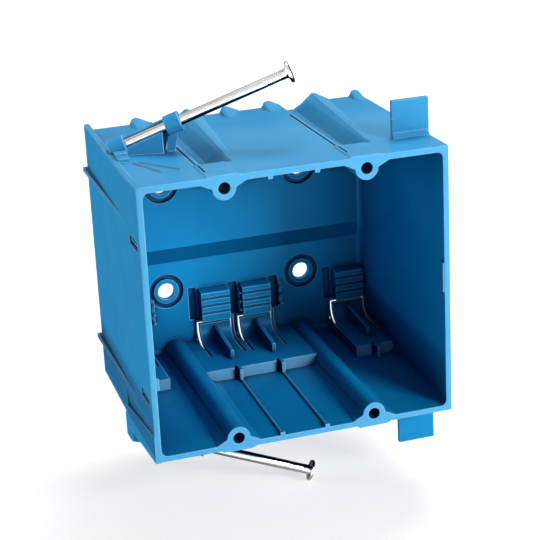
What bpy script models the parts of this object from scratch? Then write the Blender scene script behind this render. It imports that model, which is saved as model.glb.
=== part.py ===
# New work outlet box for two devices, with the two nails that fix it to a stud.
# The box is one PVC moulding. Its left wall is a stud plate, its rim stands a
# wallboard's thickness in front of the two tabs, and the nails wait in slanting
# guides above and below. All sizes are in metres.
#
# Frame: x = 0 is the stud, y = 0 the stud's front face (the back of the
# wallboard), z = 0 the middle of the box. The room is towards -Y.

import math

import bmesh
import bpy
from mathutils import Matrix, Vector

mm = 0.001

# The moulding
gang_spacing = 46.04 * mm        # between the two devices
screw_spacing = 83.34 * mm       # between a device's two screws
gang_side = 27.48 * mm           # from an outer device's middle to the box's side
screw_edge = 3.83 * mm           # from a screw's middle to the box's edge
box_width = gang_spacing + 2 * gang_side
box_height = screw_spacing + 2 * screw_edge
box_depth = 79.0 * mm
wall = 2.0 * mm
wallboard = 15.9 * mm            # rim to the front of the tabs
draft = 1.7 * mm                 # how far the top and bottom lean in, rim to back
right_draft = 0.3 * mm
inner_round = 2.0 * mm
outer_round = 0.5 * mm

# Back wall, with its step
step_depth = 2.0 * mm            # the upper part stands this much further in
step_level = -5.0 * mm
step_slope = 3.2 * mm            # height of its slanted face

# Stud plate
stud_flat = 21.0 * mm            # flat length behind the rim
stud_lean = 1.5 * mm             # how far the rest leans in by the back
stud_rib_inset = (15.75 * mm, 14.25 * mm)    # from the top, from the bottom
stud_rib_height = 1.5 * mm
fin_length = 37.6 * mm
fin_drop = 3.2 * mm
fin_ledge_front = 9.5 * mm       # its height above the box's bottom, at the rim
fin_ledge_back = 4.8 * mm
fin_ledge_depth = 1.0 * mm
fin_ledge_rise = (3.0 * mm, 6.0 * mm)
plate_recess_inset = (19.7 * mm, 20.3 * mm)  # from the top, from the bottom
plate_recess_length = 9.5 * mm
plate_recess_front = 3.0 * mm
plate_recess_width = 1.25 * mm
plate_recess_bar = 0.6 * mm
plate_recess_bar_drop = 0.4 * mm
plate_recess_depth = 1.0 * mm

# Device screw bosses
boss_radius = 3.8 * mm
boss_hole = 3.9 * mm
boss_flare = 7.5 * mm            # half width where the boss meets the wall
ridge_flare = 8.1 * mm
ridge_round = 4.25 * mm          # radius of the ridge's top by the back wall
ridge_swell = 1.1 * mm           # how far its crest has come in by there
ridge_change = 10.0 * mm         # the boss has become the ridge by here
boss_pad_left = 6.0 * mm
boss_pad_right = 5.0 * mm
boss_pad_rise = 0.45 * mm

# Grooves outside, behind each boss
groove_start = 14.4 * mm
groove_slope = 0.8 * mm
groove_floor = 4.1 * mm          # below the box's edge
groove_left = 3.0 * mm
groove_toe = 2.2 * mm
groove_knee = 5.2 * mm
groove_knee_rise = 1.7 * mm
flank_slope = 0.84               # rise of the long flank for each unit across
crest_rise = 2.6 * mm            # above the wall, by the back
crest_width = 1.6 * mm
crest_foot = 16.0 * mm
crest_front_foot = 11.0 * mm
rail_slot_place = 4.3 * mm       # thin slot left of the groove
rail_slot_width = 0.7 * mm
rail_slot_depth = 0.6 * mm
rail_slot_start = 5.6 * mm
rail_slot_end = 62.0 * mm

# Wallboard tabs
tab_width = 12.7 * mm
tab_thickness = 1.8 * mm
tab_up = 11.9 * mm
tab_down = 16.7 * mm
tab_cove = 1.3 * mm

# Nails
nail_length = 63.5 * mm
nail_shank = 3.3 * mm
nail_head = 7.2 * mm
nail_head_thickness = 1.1 * mm
nail_point = 4.6 * mm
nail_tip_inset = 1.9 * mm        # of both points, from the stud
upper_nail_behind = 26.5 * mm    # of its point, from the stud's front face
lower_nail_behind = 24.6 * mm
upper_nail_drop = 0.1 * mm       # of its point, below the box's top edge
lower_nail_clear = 6.5 * mm      # of its point, below the box's bottom edge
upper_nail_turn = 17.1           # degrees from the box's width towards the room
lower_nail_turn = 12.26
upper_nail_tilt = 21.56          # degrees from level, away from the box
lower_nail_tilt = 18.98
nail_clearance = 0.3 * mm

# Nail guides
guide_radius = 3.3 * mm
socket_length = 6.0 * mm
cheek_width = 8.0 * mm           # of the lower socket, which hangs below the plate
cheek_gap = 0.3 * mm             # it stays this far off the stud
guide_ring_start = 20.2 * mm     # along the nail from its tip
guide_ring_length = 5.0 * mm
trough_near = -0.6 * mm          # top of the near trough wall, from the nail's middle
trough_far = 2.3 * mm            # top of the far one
trough_side = 0.85               # how wide the trough is, in guide radii
post_gap = 1.2 * mm              # between the trough's web and the ring's post
post_foot = 2.4 * mm
guide_post = 1.8 * mm
guide_step_levels = (1.2 * mm, 2.2 * mm)     # two steps beside the guide
guide_step_starts = (30.0 * mm, 33.0 * mm)
guide_step_end = 36.0 * mm
guide_step_reach = 5.8 * mm
low_rib_height = 0.45 * mm
low_rib_half = 0.7 * mm
low_rib_back = 27.0 * mm
low_rib_front = 13.0 * mm
low_rib_places = ((6.0 * mm, 11.5 * mm), (8.0 * mm, 17.5 * mm))   # at its back, at its front

# Cable entries
platform_room = 31.5 * mm        # from the platform's front to the box's back
platform_height = 7.0 * mm       # from the box's edge
entry_middle = -0.7 * mm         # the middle pair stands this far off centre
entry_gap = 3.7 * mm             # between the middle pair's fingers
entry_side = 2.65 * mm           # from an outer finger to the box's side
entry_plate_gap = 0.5 * mm       # more for the one by the leaning stud plate
entry_room = 6.84 * mm           # that the middle fingers leave free between the ridges
finger_thickness = 1.6 * mm
finger_hinge = 19.0 * mm         # from the box's back
finger_bend = 5.0 * mm
finger_face = 3.0 * mm           # where its upright end stands, from the box's back
finger_rise = 6.2 * mm           # of its tip, above the platform
slit = 0.9 * mm
frame_edge = 0.3 * mm            # around the slits
platform_edge = 0.25 * mm        # around the frame of an outer entry
gusset_start = 24.0 * mm         # from the box's back
gusset_height = 3.3 * mm
gusset_thickness = 1.2 * mm
fin_front = 3.0 * mm             # in front of the platform
fin_thickness = 1.2 * mm
fin_rise = 0.3 * mm              # above the platform
riser_notch = 1.0 * mm
floor_rib_width = 0.8 * mm
floor_rib_height = 0.5 * mm
floor_rib_start = 0.5 * mm
rib_end_length = 1.5 * mm

# Cable pads on the back wall
pad_width = 10.4 * mm
pad_proud = 4.0 * mm
pad_foot = 7.9 * mm              # above the platform
pad_reach = 19.9 * mm            # its top, above the platform
pad_slope = 1.2 * mm
pad_grooves = 3
pad_groove_depth = 0.6 * mm
pad_groove_height = 1.0 * mm
slot_floor = 0.6 * mm            # wall left behind a slot
slot_foot = 8.0 * mm             # above the platform
slot_reach = 20.1 * mm
slot_clear = 0.2 * mm            # from the side walls
left_slot = (-8.9 * mm, -6.2 * mm)
right_slot = (5.6 * mm, 8.9 * mm)
tooth_rib = 1.0 * mm
tooth_proud = 4.0 * mm
tooth_height = 1.4 * mm
teeth = 3
tooth_top_gap = 2.2 * mm

# Holes in the back wall
back_hole = 6.0 * mm
back_hole_spread = 25.0 * mm
upper_hole_drop = 24.2 * mm      # from the box's top
lower_hole_rise = 27.2 * mm      # from the box's bottom
moat_outer = 12.5 * mm
moat_width = 1.7 * mm
moat_depth = 1.4 * mm

# Lugs on the outside at the back edge, one beside each entry
lug_length = 10.0 * mm
lug_rise = 2.2 * mm
lug_left = 3.2 * mm
lug_peak = (-1.6 * mm, 0.9 * mm)
lug_right = 6.5 * mm
lug_edge = 0.4 * mm
last_lug_inset = 2.5 * mm

# Small details of the rim
rim_nub_level = -16.6 * mm
rim_nub_length = 4.0 * mm
rim_nub_proud = 0.9 * mm
rim_nub_deep = 2.0 * mm
rim_thick_levels = (6.5 * mm, -3.5 * mm)
rim_thick_proud = 0.6 * mm
rim_thick_deep = 2.5 * mm
rim_setback = 0.1 * mm

over = 1.0 * mm                  # how far a cutter or a root runs past a face
lap = 0.05 * mm                  # by which cuts that meet differ, so that no faces coincide

rim_y = -wallboard
back_y = rim_y + box_depth
mid_x = box_width / 2
half_height = box_height / 2
step_top = step_level
step_bottom = step_level - step_slope
platform_start = box_depth - platform_room
platform_level = half_height - platform_height
finger_tip = platform_level - finger_rise
finger_width = (gang_spacing - 2 * ridge_flare - entry_room) / 2
pitch_half = (finger_width + entry_gap) / 2
outer_entry = box_width / 2 - entry_side - finger_width / 2
entry_places = (stud_lean + entry_plate_gap - outer_entry, entry_middle - pitch_half,
                entry_middle + pitch_half, outer_entry)


def y_at(depth):
    """The y of a place given by its depth behind the rim."""
    return rim_y + depth


def outer_z(depth):
    """Half height of the outside at a depth behind the rim."""
    return half_height - draft * depth / box_depth


def inner_z(depth):
    return outer_z(depth) - wall


def plate_x(depth):
    """The stud plate's outer face at a depth behind the rim."""
    lean = max(0.0, depth - stud_flat) / (box_depth - stud_flat)
    return stud_lean * lean


def clear_scene():
    for old in list(bpy.data.objects):
        bpy.data.objects.remove(old, do_unlink=True)


def new_collection(name, parent):
    made = bpy.data.collections.new(name)
    parent.children.link(made)
    return made


clear_scene()
model = new_collection("new_work_outlet_box", bpy.context.scene.collection)
cutters = new_collection("cutters", bpy.context.scene.collection)
additions = new_collection("body_additions", cutters)
removals = new_collection("body_removals", cutters)


def add_object(name, mesh, where, matrix=Matrix()):
    made = bpy.data.objects.new(name, mesh)
    made.matrix_world = matrix
    where.objects.link(made)
    if where is not model:
        made.hide_render = True
        made.display_type = "WIRE"
    return made


def block(name, low, high, where):
    """A box between two corners, given in any order."""
    bm = bmesh.new()
    bmesh.ops.create_cube(bm, size=1.0)
    size = [abs(b - a) for a, b in zip(low, high)]
    middle = [(a + b) / 2 for a, b in zip(low, high)]
    bmesh.ops.scale(bm, vec=size, verts=bm.verts)
    bmesh.ops.translate(bm, vec=middle, verts=bm.verts)
    mesh = bpy.data.meshes.new(name)
    bm.to_mesh(mesh)
    bm.free()
    return add_object(name, mesh, where)


def rod(name, start, end, radius, where, end_radius=None, segments=32):
    """A cylinder, or a cone, from one point to another."""
    start = Vector(start)
    along = Vector(end) - start
    bm = bmesh.new()
    bmesh.ops.create_cone(
        bm, cap_ends=True, segments=segments, radius1=radius,
        radius2=radius if end_radius is None else end_radius, depth=along.length)
    turn = along.to_track_quat("Z", "Y").to_matrix().to_4x4()
    mesh = bpy.data.meshes.new(name)
    bm.to_mesh(mesh)
    bm.free()
    return add_object(name, mesh, where, Matrix.Translation(start + along / 2) @ turn)


# How an outline's own axes lie: its two axes first, the direction it is thick in last
turned = {
    "X": Matrix(((0, 0, 1, 0), (1, 0, 0, 0), (0, 1, 0, 0), (0, 0, 0, 1))),
    "Y": Matrix(((1, 0, 0, 0), (0, 0, -1, 0), (0, 1, 0, 0), (0, 0, 0, 1))),
    "Z": Matrix(),
}


def outline(name, points, low, high, along, where, frame=None):
    """A flat outline made thick from low to high. Along X its points are (y, z),
    along Y they are (x, z), along Z (x, y)."""
    curve = bpy.data.curves.new(name, "CURVE")
    curve.dimensions = "2D"
    curve.fill_mode = "BOTH"
    curve.extrude = abs(high - low) / 2
    spline = curve.splines.new("POLY")
    spline.points.add(len(points) - 1)
    for corner, (u, v) in zip(spline.points, points):
        corner.co = (u, v, 0.0, 1.0)
    spline.use_cyclic_u = True
    flat = bpy.data.objects.new(name + "_outline", curve)
    bpy.context.scene.collection.objects.link(flat)
    middle = (low + high) / 2
    if along == "Y":
        middle = -middle
    placed = (frame or turned[along]) @ Matrix.Translation((0, 0, middle))
    flat.matrix_world = placed
    bpy.context.view_layer.update()
    ready = flat.evaluated_get(bpy.context.evaluated_depsgraph_get())
    mesh = bpy.data.meshes.new_from_object(ready)
    mesh.name = name
    bpy.data.objects.remove(flat)
    bpy.data.curves.remove(curve)
    bm = bmesh.new()
    bm.from_mesh(mesh)
    bmesh.ops.remove_doubles(bm, verts=bm.verts, dist=0.001 * mm)
    bmesh.ops.dissolve_limit(bm, angle_limit=0.001, verts=bm.verts, edges=bm.edges)
    bmesh.ops.recalc_face_normals(bm, faces=bm.faces)
    for face in bm.faces:
        face.smooth = False
    bm.to_mesh(mesh)
    bm.free()
    return add_object(name, mesh, where, placed)


def loft(name, sections, where):
    """A closed solid through sections that have the same number of corners."""
    bm = bmesh.new()
    rings = [[bm.verts.new(corner) for corner in section] for section in sections]
    for one, two in zip(rings, rings[1:]):
        for i in range(len(one)):
            j = (i + 1) % len(one)
            bm.faces.new((one[i], one[j], two[j], two[i]))
    bm.faces.new(rings[0])
    bm.faces.new(rings[-1])
    bmesh.ops.recalc_face_normals(bm, faces=bm.faces)
    mesh = bpy.data.meshes.new(name)
    bm.to_mesh(mesh)
    bm.free()
    return add_object(name, mesh, where)


def combine(target, operation, tool):
    """A boolean on the target with an object or with a whole collection."""
    step = target.modifiers.new(tool.name, "BOOLEAN")
    step.operation = operation
    step.solver = "EXACT"
    if isinstance(tool, bpy.types.Collection):
        step.operand_type = "COLLECTION"
        step.collection = tool
    else:
        step.object = tool


def soften(target, width, segments, angle=40.0):
    step = target.modifiers.new("rounded edges", "BEVEL")
    step.width = width
    step.segments = segments
    step.limit_method = "ANGLE"
    step.angle_limit = math.radians(angle)


def arc(centre, radii, first, last, steps):
    """Points on an ellipse, by angles in degrees."""
    points = []
    for i in range(steps + 1):
        angle = math.radians(first + (last - first) * i / steps)
        points.append((centre[0] + radii[0] * math.cos(angle),
                       centre[1] + radii[1] * math.sin(angle)))
    return points


def make_plastic():
    plastic = bpy.data.materials.new("blue_pvc")
    plastic.use_nodes = True
    shader = plastic.node_tree.nodes["Principled BSDF"]
    shader.inputs["Base Color"].default_value = (0.045, 0.300, 0.560, 1.0)
    shader.inputs["Roughness"].default_value = 0.42
    shader.inputs["Metallic"].default_value = 0.0
    return plastic


def make_steel():
    steel = bpy.data.materials.new("bright_steel")
    steel.use_nodes = True
    shader = steel.node_tree.nodes["Principled BSDF"]
    shader.inputs["Base Color"].default_value = (0.62, 0.61, 0.59, 1.0)
    shader.inputs["Roughness"].default_value = 0.22
    shader.inputs["Metallic"].default_value = 1.0
    return steel


def make_shell():
    """The drafted, stepped form of the box, hollowed from the front."""
    upper_back = box_depth - step_depth
    outside = [
        (rim_y, outer_z(0)), (y_at(upper_back), outer_z(upper_back)),
        (y_at(upper_back), step_top), (back_y, step_bottom),
        (back_y, -outer_z(box_depth)), (rim_y, -outer_z(0))]
    start = wall / 2 - 2 * lap
    body = outline("box_body", outside, start, box_width, "X", model)
    plan = outline("body_plan", [
        (start, rim_y - over), (start, y_at(stud_flat)),
        (start + stud_lean, back_y), (start + stud_lean, back_y + over),
        (box_width - right_draft, back_y + over), (box_width, rim_y - over)],
        -half_height - over, half_height + over, "Z", cutters)
    combine(body, "INTERSECT", plan)
    soften(body, outer_round, 2)

    inner_back = upper_back - wall
    before = 3 * over
    inside = [
        (rim_y - before, inner_z(-before)), (y_at(inner_back), inner_z(inner_back)),
        (y_at(inner_back), step_top), (back_y - wall, step_bottom),
        (back_y - wall, -inner_z(box_depth)), (rim_y - before, -inner_z(-before))]
    cavity = outline("body_cavity", inside, wall, box_width - wall, "X", cutters)
    room = outline("cavity_plan", [
        (wall, rim_y - 2 * before), (wall, y_at(stud_flat)),
        (wall + stud_lean, back_y), (wall + stud_lean, back_y + over),
        (box_width - right_draft - wall, back_y + over),
        (box_width - wall, rim_y - 2 * before)],
        -half_height - over, half_height + over, "Z", cutters)
    combine(cavity, "INTERSECT", room)
    soften(cavity, inner_round, 4)
    combine(body, "DIFFERENCE", cavity)
    return body


def make_stud_plate():
    """The left wall: a full plate with wedge ribs and a fin below."""
    plate = outline("stud_plate", [
        (0, rim_y), (0, y_at(stud_flat)), (stud_lean, back_y),
        (stud_lean + wall, back_y), (wall, y_at(stud_flat)), (wall, rim_y)],
        -half_height, half_height, "Z", additions)
    soften(plate, outer_round + lap, 2)
    from_top, from_bottom = stud_rib_inset
    for place in (half_height - from_top, from_bottom - half_height):
        outline("stud_rib", [
            (0, y_at(stud_flat)), (0, back_y), (stud_lean + wall / 2, back_y),
            (wall / 2, y_at(stud_flat))],
            place - stud_rib_height / 2, place + stud_rib_height / 2, "Z", additions)
    fin_back = y_at(fin_length)
    outline("stud_fin", [
        (rim_y, fin_ledge_front - half_height), (fin_back, fin_ledge_back - half_height),
        (fin_back, -half_height - fin_drop), (rim_y, -half_height)],
        0, wall, "X", additions)
    # The wall falls back just above the fin, which leaves its upper edge as a ledge
    ledge = []
    for depth, level, deep, tall in (
            (over, fin_ledge_front, fin_ledge_depth * 0.35, fin_ledge_rise[0]),
            (fin_length, fin_ledge_back, fin_ledge_depth, fin_ledge_rise[1])):
        y, z = y_at(depth), level - half_height
        ledge.append([(-over, y, z), (deep, y, z),
                      (plate_x(depth), y, z + tall), (-over, y, z + tall)])
    loft("fin_ledge", ledge, removals)
    from_top, from_bottom = plate_recess_inset
    near, far = y_at(plate_recess_front), y_at(plate_recess_front + plate_recess_length)
    for place in (half_height - from_top, from_bottom - half_height):
        reach = plate_recess_bar / 2 + plate_recess_width
        block("plate_recess", (-over, near, place - reach),
              (plate_recess_bar_drop, far, place + reach), removals)
        for half in (-1, 1):
            side = place + half * plate_recess_bar / 2
            block("plate_recess_channel", (-over / 2, near + plate_recess_bar / 2, side),
                  (plate_recess_depth, far - plate_recess_bar / 2,
                   side + half * (plate_recess_width - plate_recess_bar / 2)), removals)


def boss_section(x, y, side, flare, foot, crest_half, crest_centre, crest_round, root):
    """The outline of a boss or ridge across the box, hanging from its wall."""
    points = [(-flare, root), (-flare, foot)]
    points += arc((0, crest_centre), (crest_half, crest_round), 180, 360, 12)
    points += [(flare, foot), (flare, root)]
    return [(x + dx, y, side * z) for dx, z in points]


def make_boss(x, side):
    """A screw boss at the rim that runs back as a round-topped ridge to the back wall."""
    level = screw_spacing / 2
    crest = level - boss_radius
    sections = [boss_section(
        x, rim_y, side, boss_flare, inner_z(0), boss_radius, level, boss_radius,
        inner_z(0) + wall / 2)]
    back = box_depth - wall / 2
    for depth, radius, swell in ((ridge_change, boss_radius, 0.0), (back, ridge_round, ridge_swell)):
        sections.append(boss_section(
            x, y_at(depth), side, ridge_flare, inner_z(depth) + 0.3 * wall, radius,
            crest - swell + radius, radius, inner_z(depth) + wall / 2))
    loft("screw_boss", sections, additions)
    rod("screw_hole", (x, rim_y - over, side * level),
        (x, y_at(groove_start + groove_slope), side * level), boss_hole / 2, removals)


def make_groove(x, side):
    """The open groove outside a boss, with a long flank that ends in a raised crest."""
    top = half_height + 6 * over
    floor = half_height - groove_floor
    knee = floor + groove_knee_rise

    def section(depth, lift):
        points = [(-groove_left, top), (-groove_left, floor + lift), (groove_toe, floor + lift),
                  (groove_knee, knee + lift),
                  (groove_knee + (top - knee - lift) / flank_slope, top)]
        return [(x + dx, y_at(depth), side * z) for dx, z in points]

    loft("boss_groove", [
        section(groove_start, half_height + over / 2 - floor),
        section(groove_start + groove_slope, 0.0),
        section(box_depth + over, 0.0)], removals)

    crest = []
    for depth, rise, foot in (
            (groove_start + 2 * groove_slope, -0.15 * wall, crest_front_foot),
            (box_depth - step_depth / 2, crest_rise, crest_foot)):
        surface = outer_z(depth)
        peak = groove_knee + (surface + rise - knee) / flank_slope
        points = [(groove_toe, surface - 0.9 * wall), (peak - over, surface + rise),
                  (peak + crest_width / 2, surface + rise),
                  (peak + crest_width, surface + rise * (1 - 0.12)),
                  (foot, surface - 0.3 * wall), (foot, surface - wall / 2)]
        crest.append([(x + dx, y_at(depth), side * z) for dx, z in points])
    loft("groove_crest", crest, additions)

    slot = []
    for depth in (rail_slot_start, rail_slot_end):
        surface = outer_z(depth)
        left = -rail_slot_place - rail_slot_width / 2
        points = [(left, surface - rail_slot_depth), (left, surface + 3 * over),
                  (left + rail_slot_width, surface + 3 * over),
                  (left + rail_slot_width, surface - rail_slot_depth)]
        slot.append([(x + dx, y_at(depth), side * z) for dx, z in points])
    loft("rail_slot", slot, removals)


def make_boss_pad(x, side):
    """The low pad outside a boss, which closes the front of its groove."""
    sections = []
    slant = 2 * boss_pad_rise
    for depth in (0.0, groove_start + groove_slope / 2):
        surface = outer_z(depth)
        points = [(-boss_pad_left, surface - wall / 2), (-boss_pad_left, surface - wall / 8),
                  (-boss_pad_left + slant, surface + boss_pad_rise),
                  (boss_pad_right - slant, surface + boss_pad_rise),
                  (boss_pad_right + slant, surface - boss_pad_rise / 4),
                  (boss_pad_right, surface - wall / 2)]
        sections.append([(x + dx, y_at(depth), side * z) for dx, z in points])
    loft("boss_pad", sections, additions)


def make_tab(side):
    """A tab whose front face stops against the stud and the back of the wallboard."""
    reach = tab_up if side > 0 else tab_down
    left = box_width - tab_width
    root = inner_z(wallboard) + wall / 2
    tab = block("wallboard_tab", (left, 0, side * root),
                (box_width, tab_thickness, side * (half_height + reach)), additions)
    soften(tab, 0.3 * mm, 2)
    outline("tab_cove", [
        (tab_thickness / 2, side * root), (tab_thickness / 2, side * (half_height + tab_cove)),
        (0, side * (half_height + tab_cove)), (-tab_cove, side * (half_height - tab_cove / 4)),
        (-tab_cove, side * root)], left, box_width - right_draft, "X", additions)


def nail_axis(side):
    """Where a nail's point is, and which way its head lies."""
    if side > 0:
        tip = Vector((nail_tip_inset, upper_nail_behind, half_height - upper_nail_drop))
        turn, tilt = math.radians(upper_nail_turn), math.radians(upper_nail_tilt)
    else:
        tip = Vector((nail_tip_inset, lower_nail_behind, -half_height - lower_nail_clear))
        turn, tilt = math.radians(lower_nail_turn), math.radians(lower_nail_tilt)
    along = Vector((math.cos(turn) * math.cos(tilt), -math.sin(turn) * math.cos(tilt),
                    side * math.sin(tilt)))
    return tip, along


def make_nail_guide(side):
    """Socket, open trough and ring that hold a nail, raised on one web."""
    tip, along = nail_axis(side)
    level = Vector((along.x, along.y, 0.0))
    run = level.length                      # level distance for each unit along the nail
    level.normalize()
    across = level.cross(Vector((0, 0, 1)))
    frame = Matrix((
        (level.x, 0, across.x, tip.x), (level.y, 0, across.y, tip.y),
        (0, 1, 0, 0), (0, 0, 0, 1)))
    rise = abs(along.z) / run

    def axis_z(u):
        return abs(tip.z) + rise * u

    root = inner_z(wallboard + tip.y) + wall / 2
    ring_u = guide_ring_start * run
    ring_end = (guide_ring_start + guide_ring_length) * run
    web_end = ring_u - post_gap
    half = trough_side * guide_radius
    shares = ((-half, -guide_radius / 3, trough_far), (-guide_radius / 2, half, trough_near))
    for low, high, edge in shares:
        # The far wall reaches the ring, the near one stops at the gap before its post
        end = ring_u + over / 2 if edge > 0 else web_end
        outline("guide_trough", [
            (0, side * root), (0, side * (axis_z(0) + edge)), (end, side * (axis_z(end) + edge)),
            (end, side * (axis_z(end) - guide_radius * 0.9)), (web_end, side * root)],
            low, high, "frame", additions, frame)
    outline("guide_post", [
        (ring_u - over / 4, side * root), (ring_u + over / 2, side * axis_z(ring_u)),
        (ring_end - over / 2, side * (axis_z(ring_end) - guide_radius / 2)),
        (ring_u - over / 4 + post_foot, side * root)],
        -guide_post / 2, guide_post / 2, "frame", additions, frame)
    start = tip + along * guide_ring_start
    rod("guide_ring", start, start + along * guide_ring_length, guide_radius, additions)
    rod("guide_socket", tip + along * over / 2, tip + along * socket_length, guide_radius,
        additions)
    if side < 0:
        cheek = block("socket_cheek",
                      (cheek_gap, tip.y - cheek_width / 2, -outer_z(0) + wall),
                      (socket_length, tip.y + cheek_width / 2, tip.z - guide_radius), additions)
        soften(cheek, 4 * outer_round, 2)
    bore = nail_shank / 2 + nail_clearance
    past = guide_ring_start + guide_ring_length + 2 * over
    rod("nail_bore", tip + along * (nail_point - over), tip + along * past, bore, removals)
    rod("nail_point_bore", tip - along * 2 * nail_clearance, tip + along * (nail_point - over / 2),
        nail_clearance, removals, end_radius=bore - nail_clearance / 4)


def make_guide_details(side):
    """Small stepped block and low ribs on the wall beside the guide."""
    for depth, high in zip(guide_step_starts, guide_step_levels):
        block("guide_step", (wall, y_at(depth), side * (outer_z(depth) - wall / 2)),
              (guide_step_reach, y_at(guide_step_end), side * (outer_z(depth) + high)), additions)
    for x_back, x_front in low_rib_places:
        sections = []
        for x, depth in ((x_back, low_rib_back), (x_front, low_rib_front)):
            surface = outer_z(depth)
            points = [(-low_rib_half, surface - wall / 2), (0, surface + low_rib_height),
                      (low_rib_half, surface - wall / 2)]
            sections.append([(x + dx, y_at(depth), side * z) for dx, z in points])
        loft("guide_low_rib", sections, additions)


def finger_band(inner, outer, front, tip, side):
    """The L of a finger or its slit seen from the side, between two offsets from
    the finger's inner face, from its front end round the bend to its tip."""
    face_y = back_y - finger_face
    bend_y = face_y - finger_bend
    bend_z = platform_level - finger_bend
    near = arc((bend_y, bend_z), (finger_bend + inner, finger_bend + inner), 90, 0, 6)
    far = arc((bend_y, bend_z), (finger_bend + outer, finger_bend + outer), 0, 90, 6)
    points = [(front, platform_level + inner)] + near
    points += [(face_y + inner, tip), (face_y + outer, tip)]
    points += far + [(front, platform_level + outer)]
    return [(y, side * z) for y, z in points]


def make_entry(x, side):
    """One cable entry: a bent finger over an open channel at the box's back corner,
    a toothed pad above it on the back wall and slots on both sides of the pad."""
    frame_half = finger_width / 2 + slit + frame_edge
    # The corner piece that the finger is cut from
    left = max(x - frame_half, wall + stud_lean + over)
    left = wall / 2 + stud_lean if left > x - frame_half else left
    right = min(x + frame_half, box_width - wall / 2)
    corner = finger_band(0, finger_thickness, back_y - finger_hinge, finger_tip - 2 * slit, side)
    outline("entry_corner", corner, left, right, "X", additions)
    # The gusset that stiffens the finger
    gusset_y = back_y - gusset_start
    gusset_back = back_y - finger_face + over / 2
    outline("finger_gusset", [
        (gusset_y, side * (platform_level + over)),
        (gusset_y, side * (platform_level - gusset_height)),
        (gusset_back, side * (finger_tip + over)),
        (gusset_back, side * (platform_level + over))],
        x - gusset_thickness / 2, x + gusset_thickness / 2, "X", additions)
    # The short fin in front of the platform, with a notch beside it
    fin_y = y_at(platform_start - fin_front)
    root = inner_z(platform_start - fin_front) + wall / 2
    outline("entry_fin", [
        (fin_y, side * root), (fin_y, side * (platform_level - fin_rise)),
        (y_at(platform_start + over), side * (platform_level - fin_rise)),
        (y_at(platform_start + over), side * root)],
        x - fin_thickness / 2, x + fin_thickness / 2, "X", additions)
    notch_right = x - fin_thickness / 2
    block("riser_notch",
          (notch_right - riser_notch, y_at(platform_start) - over,
           side * (platform_level - over)),
          (notch_right, y_at(platform_start) + 2 * over, side * (inner_z(platform_start))),
          removals)
    make_channel(x, side)
    make_slit(x, side)
    make_pad(x, side)


def make_channel(x, side):
    """The way in for the cable, behind and under the finger."""
    half = finger_width / 2 + slit + lap
    inner = back_y - finger_face + finger_thickness
    low = platform_level + finger_thickness
    bend_y = back_y - finger_face - finger_bend
    bend_z = platform_level - finger_bend
    radius = finger_bend + finger_thickness
    # Below, the entry opens down as well as back; above, the top wall closes it
    floor = inner_z(box_depth) + 0.3 * mm if side > 0 else half_height + over
    start = back_y - finger_hinge + lap
    top = finger_tip - slit - lap
    points = [(start, low)] + arc((bend_y, bend_z), (radius, radius), 90, 0, 6)
    points += [(inner, top), (back_y + over, top), (back_y + over, floor), (start, floor)]
    outline("entry_channel", [(y, side * z) for y, z in points], x - half, x + half,
            "X", removals)


def make_slit(x, side):
    """The U cut that frees the finger on both sides and at its tip."""
    half = finger_width / 2
    top = finger_tip - slit
    band = finger_band(-slit, finger_thickness + slit / 2, back_y - finger_hinge,
                       top + slit / 2, side)
    for low in (x - half - slit, x + half):
        outline("finger_slit", band, low, low + slit, "X", removals)
    block("finger_tip_slit", (x - half - slit + lap, back_y - finger_face - over, side * top),
          (x + half + slit - lap, back_y + over, side * finger_tip), removals)


def make_pad(x, side):
    """A grooved pad that grips the cable, the slots beside it and a toothed rib."""
    face = back_y - wall - pad_proud
    root = back_y - wall / 2
    top, bottom = platform_level - pad_reach, platform_level - pad_foot
    points = [(root, top), (face, top + pad_slope)]
    pitch = (bottom - top - pad_slope) / (pad_grooves + 1)
    for i in range(pad_grooves):
        middle = top + pad_slope + (i + 0.8) * pitch
        for dy, dz in ((0, -0.5), (1, -0.35), (1, 0.35), (0, 0.5)):
            points.append((face + dy * pad_groove_depth, middle + dz * pad_groove_height))
    points += [(face, bottom), (root, bottom)]
    outline("cable_pad", [(y, side * z) for y, z in points],
            x - pad_width / 2, x + pad_width / 2, "X", additions)
    for low, high in (left_slot, right_slot):
        right = min(x + high, box_width - wall - right_draft - slot_clear)
        left = max(x + low, wall + stud_lean + slot_clear)
        if right - left > over:
            block("pad_slot", (left, back_y - wall - over, side * (platform_level - slot_reach)),
                  (right, back_y - slot_floor, side * (platform_level - slot_foot)), removals)
    edge = min(x + right_slot[1] + tooth_rib, box_width - wall - right_draft + tooth_rib / 3)
    valley = back_y - wall - tooth_proud / 2
    first = top + tooth_top_gap
    points = [(root, top + tooth_height / 3), (valley, first)]
    pitch = (bottom - first) / teeth
    for i in range(teeth):
        z = first + tooth_height / 3 + i * pitch
        points += [(valley, z), (back_y - wall - tooth_proud, z + tooth_height / 2),
                   (valley, z + tooth_height)]
    points += [(root, bottom + tooth_height / 3)]
    outline("tooth_rib", [(y, side * z) for y, z in points], edge - tooth_rib, edge, "X",
            additions)


def make_platforms(side):
    """The raised floors that carry the entries, one between the ridges and one at each side."""
    boss = gang_spacing / 2
    half = finger_width / 2 + slit + frame_edge + platform_edge
    spans = (
        (wall / 2 + stud_lean, mid_x + entry_places[0] + half),
        (mid_x - boss, mid_x + boss),
        (mid_x + entry_places[3] - half, min(mid_x + entry_places[3] + half, box_width - wall / 2)))
    for left, right in spans:
        outline("entry_platform", [
            (y_at(platform_start), side * platform_level),
            (back_y - wall / 2, side * platform_level),
            (back_y - wall / 2, side * (inner_z(box_depth) + wall / 2)),
            (y_at(platform_start), side * (inner_z(platform_start) + wall / 2))],
            left, right, "X", additions)


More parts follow.
